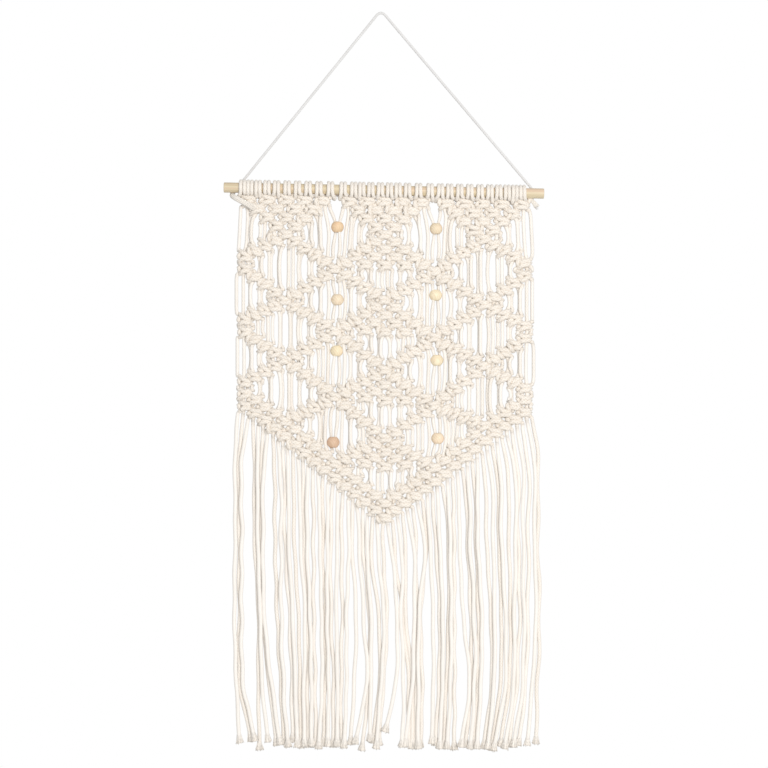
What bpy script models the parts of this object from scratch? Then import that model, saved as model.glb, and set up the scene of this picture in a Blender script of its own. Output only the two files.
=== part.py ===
"""Macrame wall hanging: a knotted cotton net on a wooden rod, with eight threaded wooden beads,
a fringe below its V edge, and the thin cord that it hangs from.

Metres, +Z up, +X to the viewer's right, the front faces -Y. The origin is the hang point: the
top of the nail or hook that the hanging cord rests on.

Places in the net are given in chart units. A knot has a row (1 at the rod, 47 at the tip) and a
column (1 at the left edge, 8 in the middle, 15 at the right edge). Knots in even rows lie at
half columns. The 60 strands hang in 30 pairs, and a knot ties two neighbouring pairs together.
"""
import functools
import math

import bmesh
import bpy
import numpy as np
from mathutils import Matrix, Vector

MM = 0.001

# Driving dimensions, in metres
GAP = 0.3 * MM                      # clearance that touching pieces keep
ROD_LENGTH = 380 * MM
ROD_DIAMETER = 12 * MM
ROD_CHAMFER = 0.5 * MM
ROD_TILT = math.radians(1.1)        # the right end hangs lower
ROD_CENTRE = Vector((3.5 * MM, -5 * MM, -210.3 * MM))
CORD_DIAMETER = 3 * MM
BEAD_DIAMETER = 15 * MM
BEAD_BORE = 6.9 * MM
HEAD_WIDTH = 7.4 * MM               # one larks head: two wraps side by side
HEAD_TAPER = 1 * MM                 # its section narrows by this on each side
HEAD_SIDES = 6                      # facets round one larks head
HEAD_THICKNESS = 4.2 * MM
NET_CENTRE_X = 4.8 * MM
NET_Y = ROD_CENTRE.y + 2.5 * MM     # the strands hang a little behind the rod's axis
KNOT_HALF_DEPTH = 4.6 * MM
STRAND_HALF_DEPTH = 2.1 * MM
STRAND_OFFSET = 2.96 * MM           # from the middle of a pair to each of its strands
BAR_HALF_WIDTH = 2.9 * MM           # a hanging pair of strands
BESIDE_STRAND = 3.8 * MM            # width of the one strand that passes a bead
EDGE_OVERHANG = 1.6 * MM            # the outer cord of an edge knot bulges past its pair
EDGE_SLIT = 1.9 * MM                # half the slit between the two strands of an edge pair
EDGE_SWING_OUT = 1.6 * MM           # how far those strands part between their knots
EDGE_SWING_IN = 3 * MM
FRINGE_STRAND = 4.1 * MM
FRINGE_SPINE = 5 * MM               # height of the strip that carries the free ends
FRINGE_STEPS = 4                    # stations down one free end
V_STEP = 1.5 * MM                   # how far each strand steps down along the V edge
FLAT_ANGLE = math.radians(2)        # faces of the net within this of one plane are merged
FRINGE_FLAT_ANGLE = math.radians(1)
ROD_SIDES = 24
BEAD_SIDES = 12
BEAD_RINGS = 6
CORD_SIDES = 8

PAIRS = 30
LAST_ROW = 47
MIDDLE_COLUMN = 8
FIRST_FREE_ROW = 33                 # the outermost pair is free below this row
BEAD_PAIRS = (9, 19)                # the gap right of these pairs holds a bead column
BEAD_KNOT_ROWS = (10, 20, 30, 40)   # the rows of the knots below the beads of a column

# Knot spacing across the net at key rows: row, spacing
KNOT_SPACING = (
    (0.5, 23.2 * MM),
    (9, 23.7 * MM),
    (48, 23.7 * MM),
)

# Depth below the rod's axis at key rows, in millimetres, at seven places across the net
DEPTH_COLUMNS = (1, 3, 5.5, 8, 10.5, 13, 15)
DEPTHS = (
    # row, left edge, left side, left beads, middle, right beads, right side, right edge
    (0.5, 8.5, 8.5, 8.5, 8.5, 8.5, 8.5, 8.5),
    (1.5, 20, 19, 19, 18.2, 19, 19, 19),
    (5, 50, 55, 54, 52.7, 54, 56.3, 48),
    (10, 89, 94, 94.2, 96.5, 95.5, 95, 90.5),
    (15, 126, 133.5, 131, 128.9, 134, 133.7, 127),
    (20, 163.5, 168.5, 168, 176.5, 173.5, 170.5, 164.5),
    (25, 201, 203.7, 206.7, 212.8, 213.5, 206.2, 202),
    (30, 237.5, 240, 245.4, 258, 254, 242, 238.5),
    (35, 273.5, 275.3, 285.3, 294.3, 290, 276.5, 274.5),
    (40, 312, 318, 325.1, 335, 328, 319, 313),
    (45, 351, 358, 366, 371.5, 367, 359, 352),
    (48, 375, 382, 390, 396, 391, 383, 376),
)

# The two threaded cords of a bead column at key rows, in millimetres from its middle: they part
# above the first bead and run side by side below
THREADED_CORDS = (
    # row, half the slit between them, outer edge
    (0.5, 6.0, 7.4),
    (1.5, 6.0, 7.4),
    (2.5, 2.4, 5.2),
    (3.5, 0.5, 2.1),
)

# How far the two strands of the edge pairs hang apart: row, share
EDGE_APART = (
    (0, 0), (1.5, 0), (2.5, 1), (7.5, 1), (8.5, 0), (11.5, 0), (12.5, 1), (17.5, 1),
    (18.5, 0), (21.5, 0), (22.5, 1), (27.5, 1), (28.5, 0), (LAST_ROW, 0),
)

# Beads: column, depth below the rod's axis, sideways sway, all but the column in millimetres
BEADS = (
    ("bead_left_1", 5.5, 44.2, 2.0),
    ("bead_left_2", 5.5, 130.6, 2.6),
    ("bead_left_3", 5.5, 191.4, 1.8),
    ("bead_left_4", 5.5, 300.1, -2.4),
    ("bead_right_1", 10.5, 44.0, 2.2),
    ("bead_right_2", 10.5, 123.0, 0.9),
    ("bead_right_3", 10.5, 200.3, 2.5),
    ("bead_right_4", 10.5, 293.1, 3.4),
)

# Where the 30 larks heads meet along the rod, from the left end of the first to the right end
# of the last, in millimetres from the hang point
HEAD_EDGES = (
    -167.8, -159.5, -151.1, -140.4, -129.7, -117.8, -104.7, -92.8, -79.7, -67.2,
    -52.4, -36.9, -27.4, -17.9, -6.0, 4.8, 15.5, 25.0, 38.1, 51.2,
    65.5, 75.6, 87.5, 99.4, 111.3, 123.8, 134.5, 144.6, 154.7, 163.0, 172.4,
)

# Free ends: first strand, last strand, the places of their tips, and how low they reach
FRINGE = (
    # first, last, left x, right x, tip z, in millimetres from the hang point
    (0, 0, -169.0, -169.0, -866),
    (1, 2, -156.0, -151.0, -863),
    (3, 3, -145.0, -145.0, -873),
    (4, 5, -137.0, -132.5, -863),
    (6, 7, -126.0, -122.0, -868),
    (8, 9, -115.0, -111.0, -869),
    (10, 16, -100.0, -72.5, -871),
    (17, 22, -65.5, -43.0, -871),
    (23, 25, -37.0, -28.5, -868),
    (26, 26, -21.5, -21.5, -875),
    (27, 28, -11.0, -5.0, -872),
    (29, 29, 7.0, 7.0, -853),
    (30, 36, 21.5, 45.0, -872),
    (37, 41, 59.5, 77.5, -872),
    (42, 42, 86.0, 86.0, -874),
    (43, 47, 95.0, 113.0, -872),
    (48, 51, 122.5, 135.5, -875),
    (52, 57, 141.5, 166.5, -872),
    (58, 58, 175.0, 175.0, -869),
    (59, 59, 184.5, 184.5, -868),
)

# Route of the hanging cord, in metres: the left tail, round behind the rod, over the hang
# point, behind the rod again, and the right tail. The last number counts the tube's points
# up to the next one.
CORD_ROUTE = (
    (-0.1630, -0.0103, -0.2242, 1),
    (-0.1680, -0.0095, -0.2212, 1),
    (-0.1722, -0.0060, -0.2182, 1),
    (-0.1752, -0.0012, -0.2158, 1),
    (-0.1760, 0.0032, -0.2120, 1),
    (-0.1732, 0.0062, -0.2072, 1),
    (-0.1680, 0.0078, -0.2006, 1),
    (-0.1630, 0.0079, -0.1950, 5),
    (-0.1300, 0.0064, -0.1545, 9),
    (-0.0750, 0.0036, -0.0870, 9),
    (-0.0200, 0.0010, -0.0195, 2),
    (-0.0085, 0.0004, -0.0054, 1),
    (-0.0042, 0.0002, -0.0003, 1),
    (0.0, 0.0, 0.0015, 1),
    (0.0042, 0.0001, -0.0003, 1),
    (0.0085, 0.0002, -0.0052, 2),
    (0.0200, 0.0003, -0.0188, 9),
    (0.0750, 0.0011, -0.0837, 9),
    (0.1300, 0.0020, -0.1485, 8),
    (0.1740, 0.0028, -0.2004, 1),
    (0.1788, 0.0030, -0.2070, 1),
    (0.1800, 0.0030, -0.2135, 1),
    (0.1802, 0.0010, -0.2200, 1),
    (0.1812, -0.0030, -0.2245, 1),
    (0.1835, -0.0060, -0.2285, 1),
    (0.1855, -0.0070, -0.2325, 0),
)

# Colours (linear RGB), roughness and metallic value
FINISHES = {
    "cotton": ((0.84, 0.79, 0.70), 0.95),
    "hanging_cotton": ((0.80, 0.78, 0.74), 0.95),
    "rod_wood": ((0.68, 0.50, 0.30), 0.60),
    "bead_wood": ((0.72, 0.54, 0.34), 0.50),
    "dark_bead_wood": ((0.50, 0.32, 0.19), 0.50),
}


# ---------------------------------------------------------------- scene and objects

def clear_scene():
    for item in list(bpy.data.objects):
        bpy.data.objects.remove(item, do_unlink=True)


def material(name):
    colour, roughness = FINISHES[name]
    made = bpy.data.materials.get(name)
    if made is None:
        made = bpy.data.materials.new(name)
        made.use_nodes = True
        shader = made.node_tree.nodes["Principled BSDF"]
        shader.inputs["Base Color"].default_value = (*colour, 1)
        shader.inputs["Roughness"].default_value = roughness
        shader.inputs["Metallic"].default_value = 0
    return made


def object_from(bm, name, finish, smooth_angle=None):
    mesh = bpy.data.meshes.new(name)
    bm.to_mesh(mesh)
    bm.free()
    mesh.materials.append(material(finish))
    if smooth_angle is not None:
        mesh.shade_smooth()
        mesh.set_sharp_from_angle(angle=math.radians(smooth_angle))
    item = bpy.data.objects.new(name, mesh)
    bpy.context.scene.collection.objects.link(item)
    return item


# ---------------------------------------------------------------- places on the rod and net

def rod_z(x):
    """Height of the rod's axis above a sideways place."""
    return ROD_CENTRE.z - (x - ROD_CENTRE.x) * math.tan(ROD_TILT)


def net_x(column, row):
    rows, spacings = zip(*KNOT_SPACING)
    return NET_CENTRE_X + (column - MIDDLE_COLUMN) * float(np.interp(row, rows, spacings))


@functools.cache
def net_depth(column, row):
    """Depth below the rod's axis, read from the table across and down."""
    rows, *columns = zip(*DEPTHS)
    across = [np.interp(row, rows, depths) for depths in columns]
    return float(np.interp(column, DEPTH_COLUMNS, across)) * MM


def net_z(column, row, x):
    return rod_z(x) - net_depth(column, row)


def pair_column(pair):
    return 0.75 + pair / 2


def gap_column(gap):
    """The knot column between a pair and the next one."""
    return 1 + gap / 2


def free_row(pair):
    """The last row that still holds a pair."""
    return FIRST_FREE_ROW + min(pair, PAIRS - 1 - pair)


@functools.cache
def row_at_depth(column, depth):
    rows = np.arange(0.5, LAST_ROW + 1, 0.25)
    depths = [net_depth(column, row) for row in rows]
    return float(np.interp(depth, depths, rows))


# ---------------------------------------------------------------- the knotting chart

def zigzag_offset(row):
    """How far, in rows, a zigzag line is from its nearest crossing (rows 5, 15, 25, 35)."""
    return abs((row % 10) - 5)


@functools.cache
def knot_columns(row):
    """The columns that hold a square knot in one row."""
    left = set()
    if row <= 5:
        # three solid triangles that point down, their tips in row 5
        inset = (row - 1) / 2
        left.update(np.arange(1 + inset, 5 - inset + 0.1))
        left.update(np.arange(6 + inset, 10 - inset + 0.1))
    if 5 <= row <= 35:
        # lines that cross at column 3 and meet the edge and the bead column
        offset = zigzag_offset(row) / 2
        left.update((3 - offset, 3 + offset))
    if row > 35:
        left.add(1 + (row - 31) / 2)
    if row >= FIRST_FREE_ROW:
        left.add(1 + (row - FIRST_FREE_ROW) / 2)
    if 5 <= row <= 45:
        step = row % 10
        if step >= 5:
            # solid triangles that point up, their tips in rows 5, 15, 25 and 35
            half = (step - 5) / 2
            left.update(np.arange(8 - half, 8 + half + 0.1))
        else:
            left.add(8 - (5 - step) / 2)
    left = {float(column) for column in left if 1 <= column <= MIDDLE_COLUMN}
    return left | {2 * MIDDLE_COLUMN - column for column in left}


def closed_rows(gap):
    """Rows in which a gap between two pairs is closed: its knots, and the small eyelets
    between knots that are two rows apart."""
    column = gap_column(gap)
    knots = [row for row in range(1, LAST_ROW + 1) if column in knot_columns(row)]
    rows = set(knots)
    for above, below in zip(knots, knots[1:]):
        if below - above == 2:
            rows.add(above + 1)
    if gap not in BEAD_PAIRS:
        # the eyelets under the rod are small, so they are closed too
        rows.add(1)
    return rows


# ---------------------------------------------------------------- the net

def spread(row):
    """1 where the strands beside a bead column stand clear of it, 0 at its knots."""
    stops = []
    for knot in BEAD_KNOT_ROWS:
        stops += [(knot - 8.5, 1), (knot - 1.5, 1), (knot - 0.5, 0), (knot + 0.5, 0)]
    rows, values = zip(*stops)
    return float(np.interp(row, rows, values))


def bead_sway(column, row):
    """Sideways shift of a bead column: each bead's own over its height, and none at the knots
    between."""
    stops = [(0.5, 0.0)]
    for knot, bead in zip(BEAD_KNOT_ROWS, [line for line in BEADS if line[1] == column]):
        row_of_bead = row_at_depth(column, bead[2] * MM)
        stops += [(row_of_bead + past, bead[3] * MM) for past in (-1, 1)] + [(knot, 0.0)]
    rows, values = zip(*stops)
    return float(np.interp(row, rows, values))


def bead_cords(row):
    """Half the slit between the two threaded cords, and their outer edge, from the middle of
    the bead column."""
    rows, slits, outers = zip(*THREADED_CORDS)
    return float(np.interp(row, rows, slits)) * MM, float(np.interp(row, rows, outers)) * MM


def net_lines():
    """The upright lines of the net's lattice, left to right, and the rows in which the strip
    right of each line is filled. A line is a function of the row that gives its x."""
    lines = []
    strips = []

    def line(column, offset, filled):
        lines.append((column, lambda row: net_x(column, row) + offset(row)))
        strips.append(filled)

    for pair in range(PAIRS):
        column = pair_column(pair)
        rows = set(range(1, free_row(pair) + 1))
        gap_rows = closed_rows(pair) if pair < PAIRS - 1 else set()
        if pair in (0, PAIRS - 1):
            edge_line(line, column, pair, rows, closed_rows(0), gap_rows)
        elif pair in BEAD_PAIRS:
            bead_lines(line, column, pair, rows, gap_rows)
        elif pair - 1 in BEAD_PAIRS:
            line(column, lambda row, c=gap_column(pair - 1): beside_bead(c, row, 1)[0], rows)
            line(column, lambda row, c=gap_column(pair - 1): beside_bead(c, row, 1)[1], gap_rows)
        else:
            line(column, lambda row: -BAR_HALF_WIDTH, rows)
            line(column, lambda row: BAR_HALF_WIDTH, gap_rows)
    strips.pop()
    return lines, strips


def edge_line(line, column, pair, rows, knot_rows, gap_rows):
    """The outermost pair: its two strands hang apart between the edge knots."""
    side = -1 if pair == 0 else 1
    knots = {row for row in knot_rows if row != 2}

    def outer(row):
        return side * (BAR_HALF_WIDTH + EDGE_OVERHANG + EDGE_SWING_OUT * edge_apart(row))

    def inner(row):
        return -side * (BAR_HALF_WIDTH + EDGE_SWING_IN * edge_apart(row))

    line(column, outer if pair == 0 else inner, rows)
    line(column, lambda row: -EDGE_SLIT, knots & rows)
    line(column, lambda row: EDGE_SLIT, rows)
    line(column, inner if pair == 0 else outer, gap_rows)


def edge_apart(row):
    """1 where the two edge strands hang apart, 0 at the edge knots and below them."""
    rows, shares = zip(*EDGE_APART)
    return float(np.interp(row, rows, shares))


def beside_bead(column, row, side):
    """Offsets, from the pair's own middle, of the one strand beside a bead column."""
    knot_edges = (-BAR_HALF_WIDTH, BAR_HALF_WIDTH)
    half_pair = (net_x(column, row) - net_x(column - 0.25, row)) * side
    clear = BEAD_DIAMETER / 2 + 2 * GAP
    near = side * clear - half_pair + bead_sway(column, row)
    far = near + side * BESIDE_STRAND
    apart_edges = (far, near) if side < 0 else (near, far)
    share = spread(row)
    return [a + (b - a) * share for a, b in zip(knot_edges, apart_edges)]


def bead_lines(line, column, pair, rows, knot_rows):
    """The pair left of a bead column, then the two threaded cords in the middle of it."""
    middle = gap_column(pair)
    through = set(range(1, max(knot_rows) + 1))
    joined = knot_rows | set(range(4, max(knot_rows) + 1))
    beside = knot_rows | {1}
    line(column, lambda row: beside_bead(middle, row, -1)[0], rows)
    line(column, lambda row: beside_bead(middle, row, -1)[1], beside)
    line(middle, lambda row: bead_sway(middle, row) - bead_cords(row)[1], through)
    line(middle, lambda row: bead_sway(middle, row) - bead_cords(row)[0], joined)
    line(middle, lambda row: bead_sway(middle, row) + bead_cords(row)[0], through)
    line(middle, lambda row: bead_sway(middle, row) + bead_cords(row)[1], beside)


@functools.cache
def edge_stations():
    """The V edge of the net: two straight slopes and a short level tip, carried on past both
    sides."""
    corners = (0, PAIRS // 2 - 1, PAIRS // 2, PAIRS - 1)
    rows = [free_row(pair) + 0.5 for pair in corners]
    columns = [pair_column(pair) for pair in corners]
    xs = [net_x(column, row) for column, row in zip(columns, rows)]
    zs = [net_z(column, row, x) for column, row, x in zip(columns, rows, xs)]
    past = 0.1
    left = (xs[0] - past * (xs[1] - xs[0]), zs[0] - past * (zs[1] - zs[0]))
    right = (xs[-1] + past * (xs[-1] - xs[-2]), zs[-1] + past * (zs[-1] - zs[-2]))
    return [left[0], *xs, right[0]], [left[1], *zs, right[1]]


def edge_height(x):
    """Height of the net's V edge above a sideways place."""
    return float(np.interp(x, *edge_stations()))


def build_net():
    """A flat lattice of strips and rows, opened at its gaps and given its thickness, joined
    with the larks heads round the rod."""
    lines, strips = net_lines()
    width = len(strips)
    bars = {i for i, rows in enumerate(strips) if len(rows) >= FIRST_FREE_ROW}

    def filled(i, row):
        return 0 <= i < width and row in strips[i]

    def knotted(i, j):
        """True where a closed gap touches the lattice point."""
        return any(filled(n, row) for n in range(i - 2, i + 2) for row in (j, j + 1)
                   if n not in bars)

    bm = bmesh.new()
    bmesh.ops.create_grid(bm, x_segments=width, y_segments=LAST_ROW, size=0.5)
    half_depth = bm.verts.layers.float.new("half_depth")
    place = {vert: (round((vert.co.x + 0.5) * width), round((0.5 - vert.co.y) * LAST_ROW))
             for vert in bm.verts}
    open_cells = []
    for face in bm.faces:
        i = min(place[vert][0] for vert in face.verts)
        row = min(place[vert][1] for vert in face.verts) + 1
        if not filled(i, row):
            open_cells.append(face)
    for vert, (i, j) in place.items():
        column, x_of = lines[i]
        x = x_of(j + 0.5)
        z = net_z(column, j + 0.5, x)
        if j >= FIRST_FREE_ROW:
            z = on_v_edge(i, j, x, z, filled)
        vert.co = (x, 0, z)
        vert[half_depth] = KNOT_HALF_DEPTH if knotted(i, j) else STRAND_HALF_DEPTH
    bmesh.ops.delete(bm, geom=open_cells, context="FACES")

    front = bm.verts[:]
    copied = bmesh.ops.extrude_face_region(bm, geom=bm.faces[:], use_keep_orig=True)
    back = [item for item in copied["geom"] if isinstance(item, bmesh.types.BMVert)]
    for vert in front:
        vert.co.y = NET_Y - vert[half_depth]
    for vert in back:
        vert.co.y = NET_Y + vert[half_depth]
    bmesh.ops.recalc_face_normals(bm, faces=bm.faces[:])
    bmesh.ops.dissolve_limit(bm, angle_limit=FLAT_ANGLE, verts=bm.verts[:], edges=bm.edges[:])
    bmesh.ops.triangulate(bm, faces=bm.faces[:])
    net = object_from(bm, "net", "cotton")
    join = net.modifiers.new("larks heads", "BOOLEAN")
    join.operation = "UNION"
    join.solver = "EXACT"
    join.object = build_larks_heads()
    return net


def on_v_edge(i, j, x, z, filled):
    """Bring the lowest points of the stepped lattice onto the V line."""
    strips_beside = (i - 1, i)
    if any(filled(n, row) for n in strips_beside for row in (j + 2,)):
        return z
    if all(filled(n, j + 1) for n in strips_beside) or not any(filled(n, j) for n in strips_beside):
        return z
    step = V_STEP if any(filled(n, j + 1) for n in strips_beside) else 0
    return edge_height(x) + step


def build_larks_heads():
    """Thirty loops round the rod, each a faceted ring with a tapered section."""
    inner = (ROD_DIAMETER / 2 + GAP) / math.cos(math.pi / HEAD_SIDES)
    outer = inner + HEAD_THICKNESS
    half = HEAD_WIDTH / 2
    ring = bmesh.new()
    turn = Matrix.Rotation(math.pi / HEAD_SIDES, 3, "X")
    narrow = half - HEAD_TAPER
    section = ((-half, inner), (half, inner), (narrow, outer), (-narrow, outer))
    verts = [ring.verts.new(turn @ Vector((x, 0, radius))) for x, radius in section]
    loop = [ring.edges.new((verts[n - 1], verts[n])) for n in range(len(verts))]
    bmesh.ops.spin(ring, geom=verts + loop, axis=(1, 0, 0), cent=(0, 0, 0),
                   angle=math.tau, steps=HEAD_SIDES, use_merge=True)
    bmesh.ops.remove_doubles(ring, verts=ring.verts[:], dist=0.01 * MM)
    bmesh.ops.recalc_face_normals(ring, faces=ring.faces[:])
    ring_mesh = bpy.data.meshes.new("larks_head")
    ring.to_mesh(ring_mesh)
    ring.free()

    bm = bmesh.new()
    tilt = Matrix.Rotation(ROD_TILT, 4, "Y")
    for left, right in zip(HEAD_EDGES, HEAD_EDGES[1:]):
        x = (left + right) / 2 * MM
        first = len(bm.verts)
        bm.from_mesh(ring_mesh)
        bmesh.ops.transform(bm, verts=bm.verts[first:],
                            matrix=Matrix.Translation((x, ROD_CENTRE.y, rod_z(x))) @ tilt)
    heads = object_from(bm, "larks_heads", "cotton")
    heads.hide_render = True
    heads.display_type = "WIRE"
    return heads


# ---------------------------------------------------------------- the fringe

def strand_top_x(strand):
    """A free end starts below its own half of its pair."""
    pair = strand // 2
    side = -1 if strand % 2 == 0 else 1
    row = free_row(pair) + 0.5
    return net_x(pair_column(pair), row) + side * STRAND_OFFSET


def strand_tip(strand):
    for first, last, left, right, tip in FRINGE:
        if first <= strand <= last:
            share = (strand - first) / max(last - first, 1)
            return (left + (right - left) * share) * MM, tip * MM
    raise ValueError("no clump holds this strand")


def strand_path(strand):
    """Stations of one free end, from below the spine to its tip: x, y, z."""
    layer = -1 if strand % 2 == 0 else 1
    y = NET_Y + layer * (FRINGE_STRAND / 2 + GAP)
    top_x = strand_top_x(strand)
    top_z = edge_height(top_x) - GAP - FRINGE_SPINE
    tip_x, tip_z = strand_tip(strand)
    stations = []
    for step in range(1, FRINGE_STEPS + 1):
        t = step / FRINGE_STEPS
        blend = t * t * (3 - 2 * t)
        stations.append((top_x + (tip_x - top_x) * blend, y, top_z + (tip_z - top_z) * t))
    return stations


def build_fringe():
    """One comb: a strip below the V edge, and the free ends drawn down out of it, even ones
    from its front half and odd ones from its back half."""
    strands = 2 * PAIRS
    half = FRINGE_STRAND / 2
    xs = []
    for strand in range(strands):
        xs += [strand_top_x(strand) - half, strand_top_x(strand) + half]
    bm = bmesh.new()
    bmesh.ops.create_grid(bm, x_segments=len(xs) - 1, y_segments=2, size=0.5)
    for vert in bm.verts:
        i = round((vert.co.x + 0.5) * (len(xs) - 1))
        depth = round(vert.co.y * 2)
        x = xs[i]
        vert.co = (x, NET_Y + depth * (FRINGE_STRAND + GAP), edge_height(x) - GAP - FRINGE_SPINE)
    teeth = {}
    for face in bm.faces:
        centre = face.calc_center_median()
        front = centre.y < NET_Y
        strand = int(np.argmin([abs(centre.x - strand_top_x(n)) for n in range(strands)]))
        if abs(centre.x - strand_top_x(strand)) < half and front == (strand % 2 == 0):
            teeth[strand] = face
    under = bm.faces[:]
    top = bmesh.ops.extrude_face_region(bm, geom=under, use_keep_orig=True)
    for item in top["geom"]:
        if isinstance(item, bmesh.types.BMVert):
            item.co.z += FRINGE_SPINE
    for strand, face in teeth.items():
        for x, y, z in strand_path(strand):
            made = bmesh.ops.extrude_discrete_faces(bm, faces=[face])
            face = made["faces"][0]
            centre = face.calc_center_median()
            for vert in face.verts:
                vert.co = (x + math.copysign(half, vert.co.x - centre.x),
                           y + math.copysign(half, vert.co.y - centre.y), z)
    bmesh.ops.recalc_face_normals(bm, faces=bm.faces[:])
    bmesh.ops.dissolve_limit(bm, angle_limit=FRINGE_FLAT_ANGLE, verts=bm.verts[:],
                             edges=bm.edges[:])
    bmesh.ops.triangulate(bm, faces=bm.faces[:])
    return object_from(bm, "fringe", "cotton")


# ---------------------------------------------------------------- rod, beads and cord

def build_rod():
    bm = bmesh.new()
    bmesh.ops.create_cone(bm, cap_ends=True, segments=ROD_SIDES, radius1=ROD_DIAMETER / 2,
                          radius2=ROD_DIAMETER / 2, depth=ROD_LENGTH)
    rims = [edge for edge in bm.edges if abs(edge.verts[0].co.z - edge.verts[1].co.z) < 1e-6]
    bmesh.ops.bevel(bm, geom=rims, offset=ROD_CHAMFER, segments=1, profile=0.5,
                    affect="EDGES", material=-1)
    bmesh.ops.rotate(bm, verts=bm.verts[:], matrix=Matrix.Rotation(math.pi / 2, 3, "Y"))
    rod = object_from(bm, "rod", "rod_wood", smooth_angle=30)
    rod.location = ROD_CENTRE
    rod.rotation_euler = (0, ROD_TILT, 0)
    return rod


def build_bead(name, column, depth, sway):
    """A ball with an upright bore, turned from one closed profile."""
    radius = BEAD_DIAMETER / 2
    bore = BEAD_BORE / 2
    rim = math.asin(bore / radius)
    bm = bmesh.new()
    profile = []
    for step in range(BEAD_RINGS + 1):
        angle = rim + (math.pi - 2 * rim) * step / BEAD_RINGS
        profile.append(bm.verts.new((radius * math.sin(angle), 0, radius * math.cos(angle))))
    loop = [bm.edges.new((profile[n - 1], profile[n])) for n in range(len(profile))]
    bmesh.ops.spin(bm, geom=profile + loop, axis=(0, 0, 1), cent=(0, 0, 0), angle=math.tau,
                   steps=BEAD_SIDES, use_merge=True)
    bmesh.ops.remove_doubles(bm, verts=bm.verts[:], dist=0.01 * MM)
    bmesh.ops.recalc_face_normals(bm, faces=bm.faces[:])
    finish = "dark_bead_wood" if name == "bead_left_4" else "bead_wood"
    bead = object_from(bm, name, finish, smooth_angle=40)
    row = row_at_depth(column, depth * MM)
    x = net_x(column, row) + sway * MM
    bead.location = (x, NET_Y, rod_z(x) - depth * MM)
    return bead


def smooth_point(points, i, t):
    """A point on the smooth curve (Catmull-Rom) between route points i and i + 1."""
    last = len(points) - 1
    a, b, c, d = (points[min(max(n, 0), last)] for n in (i - 1, i, i + 1, i + 2))
    return 0.5 * (2 * b + (c - a) * t + (2 * a - 5 * b + 4 * c - d) * t ** 2
                  + (3 * b - a - 3 * c + d) * t ** 3)


def build_hanging_cord():
    route = [Vector(line[:3]) for line in CORD_ROUTE]
    points = []
    for i, line in enumerate(CORD_ROUTE[:-1]):
        for step in range(line[3]):
            points.append(smooth_point(route, i, step / line[3]))
    points.append(route[-1])
    curve = bpy.data.curves.new("hanging_cord", "CURVE")
    curve.dimensions = "3D"
    curve.bevel_depth = CORD_DIAMETER / 2
    curve.bevel_resolution = CORD_SIDES // 2 - 2
    curve.use_fill_caps = True
    spline = curve.splines.new("POLY")
    spline.points.add(len(points) - 1)
    for point, co in zip(spline.points, points):
        point.co = (*co, 1)
    curve.materials.append(material("hanging_cotton"))
    cord = bpy.data.objects.new("hanging_cord", curve)
    bpy.context.scene.collection.objects.link(cord)
    return cord


def main():
    clear_scene()
    build_rod()
    build_hanging_cord()
    build_net()
    build_fringe()
    for bead in BEADS:
        build_bead(*bead)


main()
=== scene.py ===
"""Dressing for the macrame wall hanging: every cotton cord is laid as one continuous line, over
the rod in its larks head, through the square knots of the chart, and down to its frayed tip.

Metres, +Z up, +X to the viewer's right, the front faces -Y. The origin is the hang point.
Places in the net are given in chart units: a row (1 at the rod, 47 at the tip of the V) and a
column (1 at the left edge, 8 in the middle, 15 at the right edge).
"""

import bisect
import functools
import math
import random

import bmesh
import bpy
import numpy as np
from mathutils import Matrix, Vector


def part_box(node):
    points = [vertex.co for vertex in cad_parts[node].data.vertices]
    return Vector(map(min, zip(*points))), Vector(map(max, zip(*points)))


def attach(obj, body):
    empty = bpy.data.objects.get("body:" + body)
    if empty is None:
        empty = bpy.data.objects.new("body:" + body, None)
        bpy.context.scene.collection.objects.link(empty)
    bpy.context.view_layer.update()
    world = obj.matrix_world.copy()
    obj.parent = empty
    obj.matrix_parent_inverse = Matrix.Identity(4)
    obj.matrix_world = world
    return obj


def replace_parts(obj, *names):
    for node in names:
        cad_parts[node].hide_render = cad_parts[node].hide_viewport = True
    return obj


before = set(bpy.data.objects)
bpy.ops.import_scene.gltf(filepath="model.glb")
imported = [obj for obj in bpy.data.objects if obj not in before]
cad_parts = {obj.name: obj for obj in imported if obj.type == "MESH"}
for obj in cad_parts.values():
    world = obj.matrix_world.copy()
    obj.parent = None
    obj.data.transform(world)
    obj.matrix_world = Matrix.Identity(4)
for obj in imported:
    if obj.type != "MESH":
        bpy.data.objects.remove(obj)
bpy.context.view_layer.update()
MM = 0.001
LUCK = random.Random(47)

# ---------------------------------------------------------------- sizes shared with the part

ROD_LENGTH = 380 * MM
ROD_RADIUS = 6 * MM
ROD_TILT = math.radians(1.1)        # the right end hangs lower
ROD_CENTRE = Vector((3.5 * MM, -5 * MM, -210.3 * MM))
BEAD_DIAMETER = 15 * MM
BEAD_BORE = 6.9 * MM
NET_CENTRE_X = 4.8 * MM
NET_Y = ROD_CENTRE.y + 2.5 * MM     # the strands hang a little behind the rod's axis
PAIRS = 30
LAST_ROW = 47
MIDDLE_COLUMN = 8
FIRST_FREE_ROW = 33                 # the outermost pair is free below this row
COLUMN_PITCH = 23.7                 # millimetres between neighbouring knots of one row
ROW_PITCH = 8.0
BEAD_PAIRS = (9, 19)                # the gap right of these pairs holds a bead column
BEAD_KNOT_ROWS = (10, 20, 30, 40)   # the rows of the knots below the beads of a column

# Knot spacing across the net at key rows: row, spacing
KNOT_SPACING = (
    (0.5, 23.2 * MM),
    (9, 23.7 * MM),
    (48, 23.7 * MM),
)

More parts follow.
